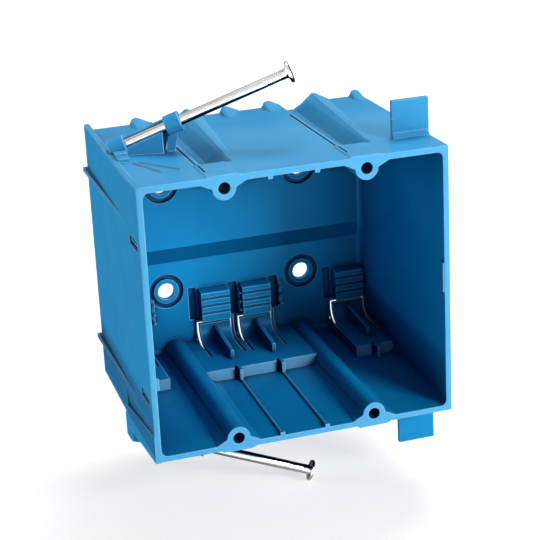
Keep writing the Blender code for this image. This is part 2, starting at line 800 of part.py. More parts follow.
def make_floor_ribs(side):
    """Two thin ribs from the rim to the middle entries' fins, each ending in a bump."""
    back = platform_start - fin_front + over
    for x in entry_places[1:3]:
        low = mid_x + x - floor_rib_width / 2
        outline("floor_rib", [
            (y_at(floor_rib_start), side * (inner_z(0) - floor_rib_height)),
            (y_at(floor_rib_start), side * (inner_z(0) + wall / 2)),
            (y_at(back), side * (inner_z(back) + wall / 2)),
            (y_at(back), side * (inner_z(back) - floor_rib_height))],
            low, low + floor_rib_width, "X", additions)
        block("floor_rib_end",
              (mid_x + x - floor_rib_width, y_at(rim_setback), side * (inner_z(0) + wall / 2)),
              (mid_x + x + floor_rib_width, y_at(rim_setback + rib_end_length),
               side * (inner_z(0) - 2 * floor_rib_height)), additions)


def make_back_holes():
    """Four holes through the back wall, each inside a round moat."""
    for z in (half_height - upper_hole_drop, lower_hole_rise - half_height):
        face = back_y - wall - (step_depth if z > step_top else 0)
        for x in (mid_x - back_hole_spread, mid_x + back_hole_spread):
            rod("back_hole", (x, face - over, z), (x, back_y + over, z), back_hole / 2,
                removals)
            moat = rod("moat", (x, face - over, z), (x, face + moat_depth, z),
                       moat_outer / 2, removals, segments=40)
            island = rod("moat_island", (x, face - 2 * over, z),
                         (x, face + moat_depth + over, z), moat_outer / 2 - moat_width,
                         cutters, segments=40)
            combine(moat, "DIFFERENCE", island)


def make_back_lugs(side):
    """Low lugs on the outside at the back edge, one beside each cable entry."""
    depth = box_depth - step_depth if side > 0 else box_depth
    for x in entry_places:
        middle = min(mid_x + x + right_slot[1], box_width - last_lug_inset)
        sections = []
        for back, rise in ((lug_length, 0.0), (lug_edge, lug_rise)):
            surface = outer_z(depth - back)
            points = [(-lug_left, surface - wall / 2), (lug_peak[0], surface + 0.85 * rise),
                      ((lug_peak[0] + lug_peak[1]) / 2, surface + rise),
                      (lug_peak[1], surface + 0.85 * rise), (lug_right, surface - wall / 2)]
            sections.append([(min(middle + dx, box_width - right_draft), y_at(depth - back),
                              side * z) for dx, z in points])
        loft("back_lug", sections, additions)


def make_rim_details():
    """A nub inside the left rim and a thicker stretch of the right rim."""
    block("rim_nub", (wall / 2, y_at(2 * rim_setback), rim_nub_level),
          (wall + rim_nub_proud, y_at(rim_nub_deep), rim_nub_level - rim_nub_length), additions)
    block("rim_thickening",
          (box_width - wall - rim_thick_proud, y_at(rim_setback), rim_thick_levels[0]),
          (box_width - wall / 2, y_at(rim_thick_deep), rim_thick_levels[1]), additions)


def make_body():
    plastic = make_plastic()
    body = make_shell()
    make_stud_plate()
    for side in (1, -1):
        for gang in (-1, 1):
            x = mid_x + gang * gang_spacing / 2
            make_boss(x, side)
            make_groove(x, side)
            make_boss_pad(x, side)
        make_tab(side)
        make_nail_guide(side)
        make_guide_details(side)
        make_platforms(side)
        make_floor_ribs(side)
        for x in entry_places:
            make_entry(mid_x + x, side)
        make_back_lugs(side)
    make_back_holes()
    make_rim_details()
    combine(body, "UNION", additions)
    combine(body, "DIFFERENCE", removals)
    body.data.materials.append(plastic)


def make_nail(name, side, steel):
    """A common nail as a turned profile: point, shank, and flat head."""
    shank = nail_shank / 2
    head = nail_head / 2
    under = nail_length - nail_head_thickness
    profile = [
        (0.0, nail_length), (head - 0.25 * mm, nail_length), (head, nail_length - 0.3 * mm),
        (head, under), (shank + 0.25 * mm, under - 0.25 * mm), (shank, under - 0.9 * mm),
        (shank, nail_point), (0.55 * shank, 0.4 * nail_point), (0.0, 0.0)]
    mesh = bpy.data.meshes.new(name)
    bm = bmesh.new()
    corners = [bm.verts.new((r, 0.0, z)) for r, z in profile]
    for one, two in zip(corners, corners[1:]):
        bm.edges.new((one, two))
    bm.to_mesh(mesh)
    bm.free()
    tip, along = nail_axis(side)
    turn = along.to_track_quat("Z", "Y").to_matrix().to_4x4()
    nail = add_object(name, mesh, model, Matrix.Translation(tip) @ turn)
    spin = nail.modifiers.new("turned", "SCREW")
    spin.axis = "Z"
    spin.angle = math.radians(360)
    spin.steps = 32
    spin.render_steps = 32
    spin.use_merge_vertices = True
    spin.merge_threshold = 0.01 * mm
    spin.use_smooth_shade = True
    nail.data.materials.append(steel)


make_body()
bright_steel = make_steel()
make_nail("upper_nail", 1, bright_steel)
make_nail("lower_nail", -1, bright_steel)
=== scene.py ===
import math

import bmesh
import bpy
from mathutils import Matrix, Vector


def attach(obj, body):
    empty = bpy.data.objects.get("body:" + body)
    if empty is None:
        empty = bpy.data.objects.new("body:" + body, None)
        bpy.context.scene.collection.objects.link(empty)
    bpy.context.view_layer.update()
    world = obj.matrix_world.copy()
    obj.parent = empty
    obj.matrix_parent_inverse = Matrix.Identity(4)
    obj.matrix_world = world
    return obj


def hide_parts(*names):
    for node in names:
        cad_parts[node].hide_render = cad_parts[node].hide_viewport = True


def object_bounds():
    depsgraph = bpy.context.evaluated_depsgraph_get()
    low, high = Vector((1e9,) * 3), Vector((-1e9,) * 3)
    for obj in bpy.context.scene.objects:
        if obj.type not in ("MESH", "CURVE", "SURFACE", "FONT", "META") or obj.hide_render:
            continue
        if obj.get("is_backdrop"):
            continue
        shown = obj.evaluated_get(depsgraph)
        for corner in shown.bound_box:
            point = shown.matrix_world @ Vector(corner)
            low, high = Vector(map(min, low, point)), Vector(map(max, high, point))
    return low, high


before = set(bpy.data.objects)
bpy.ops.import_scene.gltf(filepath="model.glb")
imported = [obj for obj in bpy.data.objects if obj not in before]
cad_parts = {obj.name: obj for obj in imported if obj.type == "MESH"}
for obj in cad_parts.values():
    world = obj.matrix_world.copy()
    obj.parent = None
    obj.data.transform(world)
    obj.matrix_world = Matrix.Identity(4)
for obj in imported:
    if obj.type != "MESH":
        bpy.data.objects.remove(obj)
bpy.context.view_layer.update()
print("frame loaded:", sorted(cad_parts))

mm = 0.001


# helpers for node trees

def socketIn(tree, name, kind, value=None):
    made = tree.interface.new_socket(name=name, in_out="INPUT", socket_type=kind)
    if value is not None:
        made.default_value = value
    return made


def socketOut(tree, name, kind):
    return tree.interface.new_socket(name=name, in_out="OUTPUT", socket_type=kind)


# A node with its properties set and its inputs linked or filled
def addNode(tree, kind, inputs=None, **settings):
    node = tree.nodes.new(kind)
    for key, value in settings.items():
        setattr(node, key, value)
    for key, value in (inputs or {}).items():
        if isinstance(value, bpy.types.NodeSocket):
            tree.links.new(value, node.inputs[key])
        else:
            node.inputs[key].default_value = value
    return node


def maths(tree, operation, first, second=0.5, clamp=False):
    node = addNode(tree, "ShaderNodeMath", {0: first, 1: second}, operation=operation)
    node.use_clamp = clamp
    return node.outputs[0]


def vectorMaths(tree, operation, first, second=(0.0, 0.0, 0.0)):
    node = addNode(tree, "ShaderNodeVectorMath", {0: first, 1: second}, operation=operation)
    return node.outputs["Value" if operation in ("LENGTH", "DOT_PRODUCT") else "Vector"]


def product(tree, first, *others):
    for other in others:
        first = maths(tree, "MULTIPLY", first, other)
    return first


def compare(tree, value, level, within):
    node = addNode(tree, "ShaderNodeMath", {0: value, 1: level, 2: within}, operation="COMPARE")
    return node.outputs[0]


def mapRange(tree, value, low, high, toLow=0.0, toHigh=1.0):
    node = addNode(tree, "ShaderNodeMapRange", {
        "Value": value, "From Min": low, "From Max": high, "To Min": toLow, "To Max": toHigh})
    return node.outputs["Result"]


def mixColour(tree, factor, first, second, blend="MIX"):
    node = addNode(tree, "ShaderNodeMix", {0: factor, 6: first, 7: second},
                   data_type="RGBA", blend_type=blend)
    return node.outputs[2]


def sRgb(red, green, blue):
    def one(value):
        value /= 255
        return value / 12.92 if value <= 0.04045 else ((value + 0.055) / 1.055) ** 2.4
    return (one(red), one(green), one(blue), 1.0)


# camera, at the photograph's angle

cameraSizes = {
    "azimuth": -16.93, "elevation": 20.21, "roll": -2.88,   # degrees
    "distance": 0.5438, "lens": 117.17,
    "target": (0.04057, -0.0159, 0.01332),
}


def makeCamera(sizes):
    azimuth, elevation, roll = (math.radians(sizes[key]) for key in ("azimuth", "elevation", "roll"))
    ahead = Vector((-math.sin(azimuth) * math.cos(elevation),
                    math.cos(azimuth) * math.cos(elevation), -math.sin(elevation)))
    right = ahead.cross(Vector((0, 0, 1))).normalized()
    up = right.cross(ahead)
    tilted = math.cos(roll) * right + math.sin(roll) * up
    upright = math.cos(roll) * up - math.sin(roll) * right
    place = Vector(sizes["target"]) - ahead * sizes["distance"]
    camera = bpy.data.cameras.new("photoCamera")
    camera.sensor_width = 36
    camera.lens = sizes["lens"]
    camera.clip_start = 0.01
    holder = bpy.data.objects.new("photoCamera", camera)
    turned = Matrix((tilted, upright, -ahead)).transposed()
    holder.matrix_world = Matrix.Translation(place) @ turned.to_4x4()
    bpy.context.scene.collection.objects.link(holder)
    bpy.context.scene.camera = holder


# floor, world and lamps

stageSizes = {
    "floorReach": 4.0, "floorDrop": 0.3 * mm,
    "white": 1.0, "behind": 0.45, "ambient": 0.17,
    "turnBehind": (0.35, 0.85),           # how far back the mirrored world starts and ends dimming
    "seamHeight": 0.80, "bandHalf": 0.035, "seamDimming": 0.6,
    "paper": 0.9, "paperRoughness": 0.9, "paperSpecular": 0.1,
    "seenPaper": 0.46, "paperGlow": 0.61, "glowColour": (1, 0.985, 0.965, 1),
    "glowReach": (0.35, 1.2),             # the paper is plain white from the second on
    "dimPaper": 0.05, "frontPaper": 2.3, "frontEdge": (0.02, -0.03),
}

lampSizes = {
    "keyLamp": {"place": (0.60, -0.88, 0.36), "aim": (0.05, 0.02, 0.0), "size": 0.36, "power": 12.0},
    "topLamp": {"place": (0.34, 0.34, 0.98), "aim": (0.05, 0.02, 0.0), "size": 0.50, "power": 9.5},
    "leftLamp": {"place": (-0.95, 0.34, 0.02), "aim": (0.0, 0.02, -0.02), "size": 0.50, "power": 9.0},
}


def makeWorld(sizes):
    world = bpy.data.worlds.new("paleStudio")
    world.use_nodes = True
    tree = world.node_tree
    tree.nodes.clear()
    path = addNode(tree, "ShaderNodeLightPath")
    place = addNode(tree, "ShaderNodeTexCoord")
    ways = addNode(tree, "ShaderNodeSeparateXYZ", {0: place.outputs["Generated"]})
    # What is mirrored: bright in front and overhead with one dim seam, dimmer behind
    rear = mapRange(tree, ways.outputs["Y"], *sizes["turnBehind"], sizes["white"], sizes["behind"])
    darkBand = compare(tree, ways.outputs["Z"], sizes["seamHeight"], sizes["bandHalf"])
    kept = maths(tree, "SUBTRACT", 1.0, maths(tree, "MULTIPLY", darkBand, sizes["seamDimming"]))
    mirrored = maths(tree, "MULTIPLY", rear, kept)
    seen = maths(tree, "MAXIMUM", path.outputs["Is Camera Ray"], path.outputs["Is Transmission Ray"])
    forLight = addNode(tree, "ShaderNodeMix", {
        0: path.outputs["Is Glossy Ray"], 2: sizes["ambient"], 3: mirrored}).outputs[0]
    strength = addNode(tree, "ShaderNodeMix", {0: seen, 2: forLight, 3: sizes["white"]}).outputs[0]
    background = addNode(tree, "ShaderNodeBackground", {"Color": (1, 1, 1, 1), "Strength": strength})
    output = addNode(tree, "ShaderNodeOutputWorld")
    tree.links.new(background.outputs[0], output.inputs["Surface"])
    bpy.context.scene.world = world


def makeFloor(sizes):
    low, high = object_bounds()
    reach = sizes["floorReach"]
    middle = (low + high) / 2
    level = low.z - sizes["floorDrop"]
    bm = bmesh.new()
    corners = [bm.verts.new((middle.x + x * reach, middle.y + y * reach, level))
               for x, y in ((-1, -1), (1, -1), (1, 1), (-1, 1))]
    bm.faces.new(corners)
    mesh = bpy.data.meshes.new("paleFloor")
    bm.to_mesh(mesh)
    bm.free()
    floor = bpy.data.objects.new("paleFloor", mesh)
    bpy.context.scene.collection.objects.link(floor)
    paper = bpy.data.materials.new("whitePaper")
    paper.use_nodes = True
    tree = paper.node_tree
    shader = tree.nodes["Principled BSDF"]
    shader.inputs["Roughness"].default_value = sizes["paperRoughness"]
    shader.inputs["Specular IOR Level"].default_value = sizes["paperSpecular"]
    path = addNode(tree, "ShaderNodeLightPath")
    place = addNode(tree, "ShaderNodeTexCoord")
    forward = addNode(tree, "ShaderNodeSeparateXYZ", {0: place.outputs["Object"]}).outputs["Y"]
    distance = vectorMaths(tree, "LENGTH", place.outputs["Object"])
    farGlow = mapRange(tree, distance, *sizes["glowReach"], sizes["paperGlow"], sizes["white"])
    # Mirrored in the part, the paper beside and behind it is dim and in front of it bright
    dimmed = mapRange(tree, forward, *sizes["frontEdge"], sizes["dimPaper"], sizes["frontPaper"])
    shown = addNode(tree, "ShaderNodeMix", {
        0: path.outputs["Is Glossy Ray"], 2: path.outputs["Is Camera Ray"], 3: dimmed}).outputs[0]
    seen = maths(tree, "MAXIMUM", path.outputs["Is Camera Ray"], path.outputs["Is Glossy Ray"])
    tone = addNode(tree, "ShaderNodeMix", {
        0: seen, 2: sizes["paper"], 3: product(tree, shown, sizes["seenPaper"])}).outputs[0]
    tree.links.new(tone, shader.inputs["Base Color"])
    shader.inputs["Emission Color"].default_value = sizes["glowColour"]
    tree.links.new(product(tree, shown, farGlow), shader.inputs["Emission Strength"])
    mesh.materials.append(paper)
    floor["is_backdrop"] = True


def makeLamps(lamps):
    for name, sizes in lamps.items():
        lamp = bpy.data.lights.new(name, "AREA")
        lamp.size = sizes["size"]
        lamp.energy = sizes["power"]
        holder = bpy.data.objects.new(name, lamp)
        holder.location = sizes["place"]
        away = Vector(sizes["aim"]) - Vector(sizes["place"])
        holder.rotation_euler = away.to_track_quat("-Z", "Y").to_euler()
        bpy.context.scene.collection.objects.link(holder)


# shared effects

# Mask of worn edges, which also carry a painted highlight, 1 at an edge
def makeEdgeGroup():
    tree = bpy.data.node_groups.new("wornAndHighlitEdges", "ShaderNodeTree")
    socketIn(tree, "Radius", "NodeSocketFloat", 0.0004)
    socketIn(tree, "Unevenness", "NodeSocketFloat", 0.5)
    socketOut(tree, "Mask", "NodeSocketFloat")
    socketOut(tree, "Normal", "NodeSocketVector")
    given = addNode(tree, "NodeGroupInput")
    rounded = addNode(tree, "ShaderNodeBevel", {"Radius": given.outputs["Radius"]}, samples=6)
    geometry = addNode(tree, "ShaderNodeNewGeometry")
    alike = vectorMaths(tree, "DOT_PRODUCT", rounded.outputs[0], geometry.outputs["Normal"])
    edge = mapRange(tree, alike, 0.998, 0.90)
    place = addNode(tree, "ShaderNodeTexCoord")
    patchy = addNode(tree, "ShaderNodeTexNoise", {
        "Vector": place.outputs["Object"], "Scale": 90.0, "Detail": 3.0, "Roughness": 0.6})
    broken = mapRange(tree, patchy.outputs["Fac"], 0.35, 0.65)
    kept = maths(tree, "SUBTRACT", 1.0, maths(tree, "MULTIPLY", given.outputs["Unevenness"], broken))
    mask = maths(tree, "MULTIPLY", edge, kept, clamp=True)
    leave = addNode(tree, "NodeGroupOutput")
    tree.links.new(mask, leave.inputs["Mask"])
    tree.links.new(rounded.outputs[0], leave.inputs["Normal"])
    return tree


# Fine moulded grain with long flow marks, as a height, and slow patches
def makeGrainGroup():
    tree = bpy.data.node_groups.new("mouldedGrain", "ShaderNodeTree")
    socketIn(tree, "Grain Scale", "NodeSocketFloat", 2600.0)
    socketIn(tree, "Flow Scale", "NodeSocketFloat", 60.0)
    socketIn(tree, "Flow Share", "NodeSocketFloat", 0.4)
    socketOut(tree, "Height", "NodeSocketFloat")
    socketOut(tree, "Patches", "NodeSocketFloat")
    given = addNode(tree, "NodeGroupInput")
    place = addNode(tree, "ShaderNodeTexCoord")
    fine = addNode(tree, "ShaderNodeTexNoise", {
        "Vector": place.outputs["Object"], "Scale": given.outputs["Grain Scale"],
        "Detail": 2.0, "Roughness": 0.55})
    drawn = addNode(tree, "ShaderNodeMapping", {
        "Vector": place.outputs["Object"], "Scale": (6.0, 0.5, 6.0)})
    flow = addNode(tree, "ShaderNodeTexNoise", {
        "Vector": drawn.outputs[0], "Scale": given.outputs["Flow Scale"], "Detail": 4.0,
        "Roughness": 0.6, "Distortion": 0.3})
    height = addNode(tree, "ShaderNodeMix", {
        0: given.outputs["Flow Share"], 2: fine.outputs["Fac"], 3: flow.outputs["Fac"]}).outputs[0]
    slow = addNode(tree, "ShaderNodeTexNoise", {
        "Vector": place.outputs["Object"], "Scale": 24.0, "Detail": 3.0, "Roughness": 0.55,
        "Distortion": 0.4})
    patches = mapRange(tree, slow.outputs["Fac"], 0.32, 0.68)
    leave = addNode(tree, "NodeGroupOutput")
    tree.links.new(height, leave.inputs["Height"])
    tree.links.new(patches, leave.inputs["Patches"])
    return tree


# Mask of creases and corners for painted shade, 1 where the neighbouring faces close a place in
def makeCreaseGroup():
    tree = bpy.data.node_groups.new("shadedCreases", "ShaderNodeTree")
    socketIn(tree, "Reach", "NodeSocketFloat", 0.01)
    socketIn(tree, "Open", "NodeSocketFloat", 0.9)
    socketIn(tree, "Closed", "NodeSocketFloat", 0.4)
    socketOut(tree, "Mask", "NodeSocketFloat")
    given = addNode(tree, "NodeGroupInput")
    around = addNode(tree, "ShaderNodeAmbientOcclusion", {"Distance": given.outputs["Reach"]},
                     samples=8)
    mask = mapRange(tree, around.outputs["AO"], given.outputs["Open"], given.outputs["Closed"])
    leave = addNode(tree, "NodeGroupOutput")
    tree.links.new(mask, leave.inputs["Mask"])
    return tree


edgeGroup = makeEdgeGroup()
grainGroup = makeGrainGroup()
creaseGroup = makeCreaseGroup()


def placeGroup(tree, group, **values):
    node = addNode(tree, "ShaderNodeGroup", node_tree=group)
    for key, value in values.items():
        node.inputs[key].default_value = value
    return node


# materials

# A ramp goes from 0 at its first value to 1 at its second. A place is a ramp along an axis
# of the box, and a facing is one along the surface's normal
pvcFinish = {
    # edge is the pale of worn edges and of painted highlights; paintedShade is the colour of painted
    # shade
    "deep": sRgb(4, 129, 184), "pale": sRgb(14, 141, 197), "edge": sRgb(150, 212, 244),
    "paintedShade": sRgb(0, 50, 98), "sheen": (0.25, 0.7, 1.0, 1.0),
    "roughness": (0.34, 0.46), "ior": 1.53, "specular": 0.3,
    "grainDepth": 0.03 * mm, "grainStrength": 0.35,
    "edges": {"Radius": 0.55 * mm, "Unevenness": 0.45}, "edgeWearAndHighlight": 0.85, "innerCut": 2.2,
    "broadCrease": {"Reach": 22 * mm, "Open": 0.95, "Closed": 0.42}, "broadShade": 0.75,
    "fineCrease": {"Reach": 2.5 * mm, "Open": 0.92, "Closed": 0.35}, "fineShade": 0.6,
    "topPlace": (44.2 * mm, 44.5 * mm), "topHighlight": 0.09, "topBroad": 0.5, "topFine": 0.1,
    "rimPlace": (-15.5 * mm, -15.8 * mm), "rimHighlight": 0.22,
    "stepPlace": (57.0 * mm, 57.3 * mm), "stepShade": 0.6,
    "stepFacings": ((-0.20, -0.28), (-0.75, -0.60)),
    "flankPlaces": ((-24 * mm, -28 * mm), (-43.8 * mm, -43.5 * mm)), "flankShade": 0.5,
    "flankFacing": (-0.1, -0.6),
    "frontPlaces": ((28.2 * mm, 28.4 * mm), (32.2 * mm, 32.0 * mm)), "frontHighlight": 0.32,
    "frontFloor": (-43.8 * mm, -43.3 * mm), "frontFacing": (-0.6, -0.8),
}


# How strongly each place takes the painted shade colour: shade painted into creases, and onto two kinds
# of turned-away face
def shadePlaces(tree, finish, place, normal, broadMask, fineMask):
    shade = maths(tree, "ADD", product(tree, broadMask, finish["broadShade"]),
                  product(tree, fineMask, finish["fineShade"]), clamp=True)
    # The slanted face of the step in the back wall looks down, away from the light
    slanted = [mapRange(tree, normal.outputs["Z"], *ramp) for ramp in finish["stepFacings"]]
    onStep = product(tree, *slanted, mapRange(tree, place.outputs["Y"], *finish["stepPlace"]))
    shade = maths(tree, "MAXIMUM", shade, product(tree, onStep, finish["stepShade"]))
    # So do the left flanks of the ridges and gussets on the floor
    onFloor = [mapRange(tree, place.outputs["Z"], *ramp) for ramp in finish["flankPlaces"]]
    onFlank = product(tree, mapRange(tree, normal.outputs["X"], *finish["flankFacing"]), *onFloor)
    return maths(tree, "ADD", shade, product(tree, onFlank, finish["flankShade"]), clamp=True)


# How pale each place is made: outer edges, worn and with a painted highlight, and painted highlights on
# the rim, the top and the platforms' fronts
def wearAndHighlightPlaces(tree, finish, place, normal, edgeMask, fineMask, onTop):
    outer = maths(tree, "SUBTRACT", 1.0, product(tree, fineMask, finish["innerCut"]), clamp=True)
    wornAndHighlit = product(tree, edgeMask, outer, finish["edgeWearAndHighlight"])
    # The rim's front is painted pale, a painted highlight
    onRim = mapRange(tree, place.outputs["Y"], *finish["rimPlace"])
    wornAndHighlit = maths(tree, "MAXIMUM", wornAndHighlit, product(tree, onRim, finish["rimHighlight"]))
    # The top is painted paler, a painted highlight
    wornAndHighlit = maths(tree, "MAXIMUM", wornAndHighlit, product(tree, onTop, finish["topHighlight"]))
    # Painted highlight on the fronts of the platforms and stop ribs
    nearFront = [mapRange(tree, place.outputs["Y"], *ramp) for ramp in finish["frontPlaces"]]
    onFront = product(tree, mapRange(tree, normal.outputs["Y"], *finish["frontFacing"]), *nearFront,
                      mapRange(tree, place.outputs["Z"], *finish["frontFloor"]))
    return maths(tree, "MAXIMUM", wornAndHighlit, product(tree, onFront, finish["frontHighlight"]))


def makeBluePvc(finish):
    made = bpy.data.materials.new("bluePvc")
    made.use_nodes = True
    tree = made.node_tree
    shader = tree.nodes["Principled BSDF"]
    grain = placeGroup(tree, grainGroup)
    edges = placeGroup(tree, edgeGroup, **finish["edges"])
    broad = placeGroup(tree, creaseGroup, **finish["broadCrease"])
    fine = placeGroup(tree, creaseGroup, **finish["fineCrease"])
    coordinates = addNode(tree, "ShaderNodeTexCoord")
    geometry = addNode(tree, "ShaderNodeNewGeometry")
    place = addNode(tree, "ShaderNodeSeparateXYZ", {0: coordinates.outputs["Object"]})
    normal = addNode(tree, "ShaderNodeSeparateXYZ", {0: geometry.outputs["Normal"]})
    # Light falls on top of the box, so its creases take less painted shade
    onTop = mapRange(tree, place.outputs["Z"], *finish["topPlace"])
    broadMask = product(tree, broad.outputs["Mask"],
                        mapRange(tree, onTop, 0.0, 1.0, 1.0, finish["topBroad"]))
    fineMask = product(tree, fine.outputs["Mask"],
                       mapRange(tree, onTop, 0.0, 1.0, 1.0, finish["topFine"]))
    shade = shadePlaces(tree, finish, place, normal, broadMask, fineMask)
    wornAndHighlit = wearAndHighlightPlaces(tree, finish, place, normal, edges.outputs["Mask"], fineMask, onTop)
    colour = mixColour(tree, grain.outputs["Patches"], finish["deep"], finish["pale"])
    colour = mixColour(tree, shade, colour, finish["paintedShade"])
    colour = mixColour(tree, wornAndHighlit, colour, finish["edge"])
    tree.links.new(colour, shader.inputs["Base Color"])
    low, high = finish["roughness"]
    tree.links.new(mapRange(tree, grain.outputs["Patches"], 0.0, 1.0, high, low),
                   shader.inputs["Roughness"])
    bump = addNode(tree, "ShaderNodeBump", {
        "Strength": finish["grainStrength"], "Distance": finish["grainDepth"],
        "Height": grain.outputs["Height"], "Normal": edges.outputs["Normal"]})
    tree.links.new(bump.outputs[0], shader.inputs["Normal"])
    shader.inputs["IOR"].default_value = finish["ior"]
    shader.inputs["Specular IOR Level"].default_value = finish["specular"]
    shader.inputs["Specular Tint"].default_value = finish["sheen"]
    return made


steelFinish = {
    "bright": sRgb(246, 245, 243), "dull": sRgb(186, 183, 180), "shaded": sRgb(22, 18, 18),
    "roughness": (0.10, 0.20), "lineDepth": 0.012 * mm, "lineStrength": 0.4,
    "lineStretch": (1.0, 14.0, 1.0), "dirtScale": 420.0, "wornShare": 0.3,
    "shadeSoftness": 0.1, "bandHalf": 0.06,
}


# Drawn wire. Its side towards the box, up or down, is painted dark, a painted reflection of the shaded
# box, and so is a thin line, a painted dark reflection
def makeBrightSteel(finish, name, shading):
    made = bpy.data.materials.new(name)
    made.use_nodes = True
    tree = made.node_tree
    shader = tree.nodes["Principled BSDF"]
    shader.inputs["Metallic"].default_value = 1.0
    along = addNode(tree, "ShaderNodeAttribute", attribute_name="nailPlace")
    stretched = addNode(tree, "ShaderNodeMapping", {
        "Vector": along.outputs["Vector"], "Scale": finish["lineStretch"]})
    drawn = addNode(tree, "ShaderNodeTexNoise", {
        "Vector": stretched.outputs[0], "Scale": 3.0, "Detail": 5.0, "Roughness": 0.7})
    place = addNode(tree, "ShaderNodeTexCoord")
    spots = addNode(tree, "ShaderNodeTexNoise", {
        "Vector": place.outputs["Object"], "Scale": finish["dirtScale"], "Detail": 4.0,
        "Roughness": 0.65})
    dirt = mapRange(tree, spots.outputs["Fac"], 0.48, 0.72)
    lines = mapRange(tree, drawn.outputs["Fac"], 0.3, 0.7)
    worn = maths(tree, "MULTIPLY", maths(tree, "ADD", dirt, lines), finish["wornShare"], clamp=True)
    geometry = addNode(tree, "ShaderNodeNewGeometry")
    facing = vectorMaths(tree, "DOT_PRODUCT", geometry.outputs["Normal"],
                         (0.0, 0.0, shading["shadedWay"]))
    start = shading["shadedFrom"]
    side = mapRange(tree, facing, start, start + finish["shadeSoftness"])
    darkBand = compare(tree, facing, shading["reflectedLineAt"], finish["bandHalf"])
    shaded = maths(tree, "MAXIMUM", side, product(tree, darkBand, shading["reflectedLineTone"]))
    clean = mixColour(tree, worn, finish["bright"], finish["dull"])
    tree.links.new(mixColour(tree, shaded, clean, finish["shaded"]), shader.inputs["Base Color"])
    low, high = finish["roughness"]
    tree.links.new(mapRange(tree, lines, 0.0, 1.0, low, high), shader.inputs["Roughness"])
    bump = addNode(tree, "ShaderNodeBump", {
        "Strength": finish["lineStrength"], "Distance": finish["lineDepth"],
        "Height": drawn.outputs["Fac"]})
    tree.links.new(bump.outputs[0], shader.inputs["Normal"])
    return made


# the moulded box: a merged copy of its node, with true edges and smooth rounds

boxSizes = {
    "mergeDistance": 0.0015 * mm, "sharpAngle": 27.0,
    "backWall": 50.0 * mm, "stepFace": 58.0 * mm,     # Y from which each is looked for
    "solidStep": (-8.2 * mm, -5.0 * mm),
    "step": (-7.8 * mm, -1.9 * mm),                   # taller, as in the photograph
    "stepBelow": 0.8 * mm, "stepAbove": 0.1 * mm, "levelError": 0.02 * mm,
}


# Moves the edges of the step in the back wall, and keeps them sharp
def liftStep(bm, sizes):
    low, high = sizes["solidStep"]
    newLow, newHigh = sizes["step"]
    for vert in bm.verts:
        z = vert.co.z
        if vert.co.y < sizes["backWall"] or not low - sizes["stepBelow"] < z < high + sizes["stepAbove"]:
            continue
        share = (z - low) / (high - low)
        vert.co.z = z + newLow - low if z < low else newLow + share * (newHigh - newLow)
    for edge in bm.edges:
        ends = [vert.co for vert in edge.verts]
        level = any(all(abs(end.z - height) < sizes["levelError"] for end in ends)
                    for height in sizes["step"])
        if level and min(end.y for end in ends) > sizes["stepFace"]:
            edge.smooth = False


def makeBox(sizes, material):
    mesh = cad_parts["box_body"].data.copy()
    bm = bmesh.new()
    bm.from_mesh(mesh)
    bmesh.ops.remove_doubles(bm, verts=bm.verts, dist=sizes["mergeDistance"])
    bmesh.ops.dissolve_degenerate(bm, edges=bm.edges, dist=sizes["mergeDistance"])
    limit = math.radians(sizes["sharpAngle"])
    for face in bm.faces:
        face.smooth = True
    for edge in bm.edges:
        edge.smooth = edge.is_manifold and edge.calc_face_angle(math.pi) < limit
    liftStep(bm, sizes)
    bm.to_mesh(mesh)
    bm.free()
    mesh.materials.clear()
    mesh.materials.append(material)
    maker = bpy.data.objects.new("outletBoxMaker", mesh)
    bpy.context.scene.collection.objects.link(maker)
    # Flat faces stay flat in shade, and only the rounds between them turn
    weighted = maker.modifiers.new("weighted", "WEIGHTED_NORMAL")
    weighted.mode = "FACE_AREA"
    weighted.weight = 100
    weighted.keep_sharp = True
    bpy.context.view_layer.update()
    ready = maker.evaluated_get(bpy.context.evaluated_depsgraph_get())
    shaded = bpy.data.meshes.new_from_object(ready)
    shaded.name = "outletBox"
    bpy.data.objects.remove(maker)
    box = bpy.data.objects.new("outletBox", shaded)
    bpy.context.scene.collection.objects.link(box)
    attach(box, "root")
    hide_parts("box_body")
    return box


# the nails: one tree turns a profile round the nail's axis

nailSizes = {
    "length": 63.5 * mm, "shank": 3.3 * mm, "head": 7.2 * mm, "headThickness": 1.1 * mm,
    "point": 4.6 * mm, "markCount": 7, "markPitch": 0.75 * mm, "markDepth": 0.09 * mm,
    "around": 48, "sharpAngle": 38.0, "mergeDistance": 0.002 * mm,
}

# Points and directions in mm, as the solids' nails, and where each one gets its painted dark reflection
nailPlaces = {
    "upperNail": {"node": "upper_nail", "tip": (1.9, 26.5, 45.4), "towards": (52.0, -16.0, 21.5),
                  "shadedWay": -1.0, "shadedFrom": 0.24, "reflectedLineAt": -0.72, "reflectedLineTone": 0.25},
    "lowerNail": {"node": "lower_nail", "tip": (1.9, 24.6, -52.0), "towards": (52.0, -11.3, -18.3),
                  "shadedWay": 1.0, "shadedFrom": 0.60, "reflectedLineAt": -0.30, "reflectedLineTone": 0.8},
}


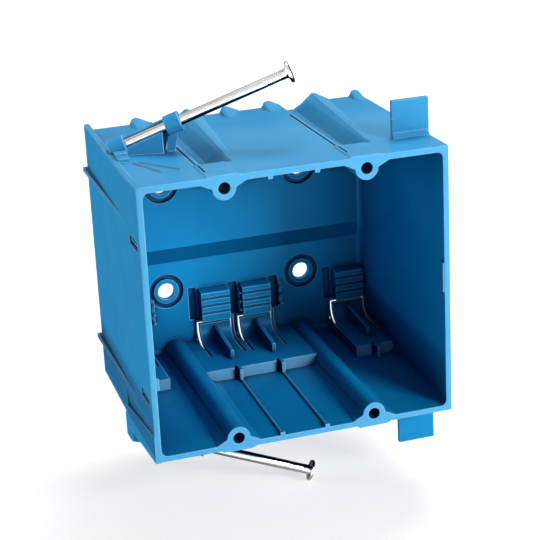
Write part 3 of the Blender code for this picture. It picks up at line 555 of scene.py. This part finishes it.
# Pairs of radius and height, from the point to the crown of the head
def nailProfile(sizes):
    shank, head = sizes["shank"] / 2, sizes["head"] / 2
    top = sizes["length"]
    under = top - sizes["headThickness"]
    points = [(0.0, 0.0), (0.16 * shank, 0.35 * mm), (0.55 * shank, 0.4 * sizes["point"]),
              (0.86 * shank, 0.8 * sizes["point"]), (0.97 * shank, sizes["point"]),
              (shank, sizes["point"] + 0.8 * mm)]
    first = under - 2.2 * mm - sizes["markCount"] * sizes["markPitch"]
    points.append((shank, first - 12 * mm))
    for i in range(sizes["markCount"]):
        z = first + i * sizes["markPitch"]
        for share, inwards in ((0.0, 0.0), (0.3, 1.0), (0.55, 1.0), (0.85, 0.0)):
            points.append((shank - inwards * sizes["markDepth"], z + share * sizes["markPitch"]))
    points += [(shank, under - 0.9 * mm), (shank + 0.07 * mm, under - 0.5 * mm),
               (shank + 0.25 * mm, under - 0.2 * mm), (head - 0.45 * mm, under),
               (head - 0.12 * mm, under + 0.06 * mm), (head, under + 0.25 * mm),
               (head, top - 0.32 * mm), (head - 0.1 * mm, top - 0.12 * mm),
               (head - 0.32 * mm, top - 0.02 * mm), (0.6 * head, top), (0.2 * head, top),
               (0.0, top)]
    return points


# Turns a profile curve round the Z axis of its object, closed at both poles
def makeTurnedTree(sizes):
    tree = bpy.data.node_groups.new("turnedProfile", "GeometryNodeTree")
    socketIn(tree, "Geometry", "NodeSocketGeometry")
    socketIn(tree, "Around", "NodeSocketInt")
    socketIn(tree, "Length", "NodeSocketFloat")
    socketIn(tree, "Material", "NodeSocketMaterial")
    socketOut(tree, "Geometry", "NodeSocketGeometry")
    given = addNode(tree, "NodeGroupInput")
    profile = addNode(tree, "GeometryNodeMeshToCurve", {"Mesh": given.outputs["Geometry"]})
    place = addNode(tree, "GeometryNodeInputPosition")
    parts = addNode(tree, "ShaderNodeSeparateXYZ", {0: place.outputs[0]})
    sized = addNode(tree, "GeometryNodeSetCurveRadius", {
        "Curve": profile.outputs["Curve"], "Radius": parts.outputs["X"]})
    upright = addNode(tree, "ShaderNodeCombineXYZ", {"Z": parts.outputs["Z"]})
    straight = addNode(tree, "GeometryNodeSetPosition", {
        "Geometry": sized.outputs[0], "Position": upright.outputs[0]})
    ring = addNode(tree, "GeometryNodeCurvePrimitiveCircle", {
        "Resolution": given.outputs["Around"], "Radius": 1.0})
    radius = addNode(tree, "GeometryNodeInputRadius")
    skin = addNode(tree, "GeometryNodeCurveToMesh", {
        "Curve": straight.outputs[0], "Profile Curve": ring.outputs["Curve"],
        "Scale": radius.outputs[0]})
    closed = addNode(tree, "GeometryNodeMergeByDistance", {
        "Geometry": skin.outputs[0], "Distance": sizes["mergeDistance"]})
    angle = maths(tree, "ARCTAN2", parts.outputs["Y"], parts.outputs["X"])
    share = maths(tree, "DIVIDE", parts.outputs["Z"], given.outputs["Length"])
    nailPlace = addNode(tree, "ShaderNodeCombineXYZ", {"X": share, "Y": angle})
    named = addNode(tree, "GeometryNodeStoreNamedAttribute", {
        "Geometry": closed.outputs[0], "Name": "nailPlace", "Value": nailPlace.outputs[0]},
        data_type="FLOAT_VECTOR", domain="POINT")
    real = addNode(tree, "GeometryNodeRealizeInstances", {"Geometry": named.outputs[0]})
    done = addNode(tree, "GeometryNodeSetMaterial", {
        "Geometry": real.outputs[0], "Material": given.outputs["Material"]})
    leave = addNode(tree, "NodeGroupOutput")
    tree.links.new(done.outputs[0], leave.inputs["Geometry"])
    return tree


def setInput(modifier, name, value):
    for item in modifier.node_group.interface.items_tree:
        if item.item_type == "SOCKET" and item.in_out == "INPUT" and item.name == name:
            modifier[item.identifier] = value
            return
    raise ValueError(name)


def makeNail(name, place, sizes, tree, material):
    profile = bpy.data.meshes.new(name + "Profile")
    points = nailProfile(sizes)
    profile.from_pydata([(radius, 0.0, z) for radius, z in points],
                        [(i, i + 1) for i in range(len(points) - 1)], [])
    maker = bpy.data.objects.new(name + "Maker", profile)
    bpy.context.scene.collection.objects.link(maker)
    turned = maker.modifiers.new("turned", "NODES")
    turned.node_group = tree
    setInput(turned, "Around", sizes["around"])
    setInput(turned, "Length", sizes["length"])
    setInput(turned, "Material", material)
    bpy.context.view_layer.update()
    ready = maker.evaluated_get(bpy.context.evaluated_depsgraph_get())
    mesh = bpy.data.meshes.new_from_object(ready)
    mesh.name = name
    maker.modifiers.remove(turned)
    bpy.data.objects.remove(maker)
    bm = bmesh.new()
    bm.from_mesh(mesh)
    bmesh.ops.recalc_face_normals(bm, faces=bm.faces)
    for face in bm.faces:
        face.smooth = True
    limit = math.radians(sizes["sharpAngle"])
    for edge in bm.edges:
        edge.smooth = edge.calc_face_angle(math.pi) < limit
    bm.to_mesh(mesh)
    bm.free()
    tip = Vector(place["tip"]) * mm
    turn = Vector(place["towards"]).to_track_quat("Z", "Y").to_matrix().to_4x4()
    mesh.transform(Matrix.Translation(tip) @ turn)
    nail = bpy.data.objects.new(name, mesh)
    bpy.context.scene.collection.objects.link(nail)
    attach(nail, "root")
    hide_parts(place["node"])
    return nail


makeCamera(cameraSizes)
makeWorld(stageSizes)
makeFloor(stageSizes)
makeLamps(lampSizes)
print("camera, floor and lamps made")

bluePvc = makeBluePvc(pvcFinish)
print("materials made")

makeBox(boxSizes, bluePvc)
print("box made")

turnedTree = makeTurnedTree(nailSizes)
for nailName, nailPlace in nailPlaces.items():
    brightSteel = makeBrightSteel(steelFinish, nailName + "Steel", nailPlace)
    makeNail(nailName, nailPlace, nailSizes, turnedTree, brightSteel)
print("nails made")

bpy.context.scene.view_settings.view_transform = "Standard"
